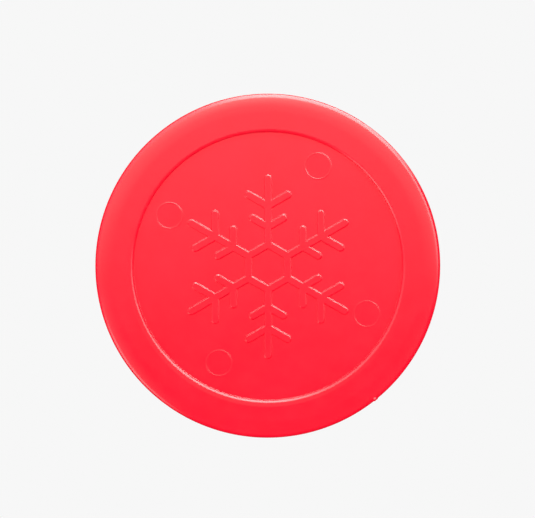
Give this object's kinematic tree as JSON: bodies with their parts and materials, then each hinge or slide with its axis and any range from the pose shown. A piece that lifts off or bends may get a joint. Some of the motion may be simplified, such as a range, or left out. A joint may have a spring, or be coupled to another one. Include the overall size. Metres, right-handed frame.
{
  "type": "air hockey puck",
  "caption": "One-piece round puck with a flat raised rim around a shallow recess on both faces, which glides on an air table and rebounds off its side wall.",
  "frame": {"origin": "centre of the underside, in the plane of the rim the puck rests on", "axes": "+Z is the disc's axis, from the plain underside to the decorated face; +Y points along one arm of the snowflake"},
  "size_m": [0.0826, 0.0826, 0.005],
  "materials": {
    "red_plastic": "bright red, smooth and glossy as moulded, slightly translucent at the edge"
  },
  "bodies": {
    "root": {"puck_body": "red_plastic"}
  },
  "joints": []
}
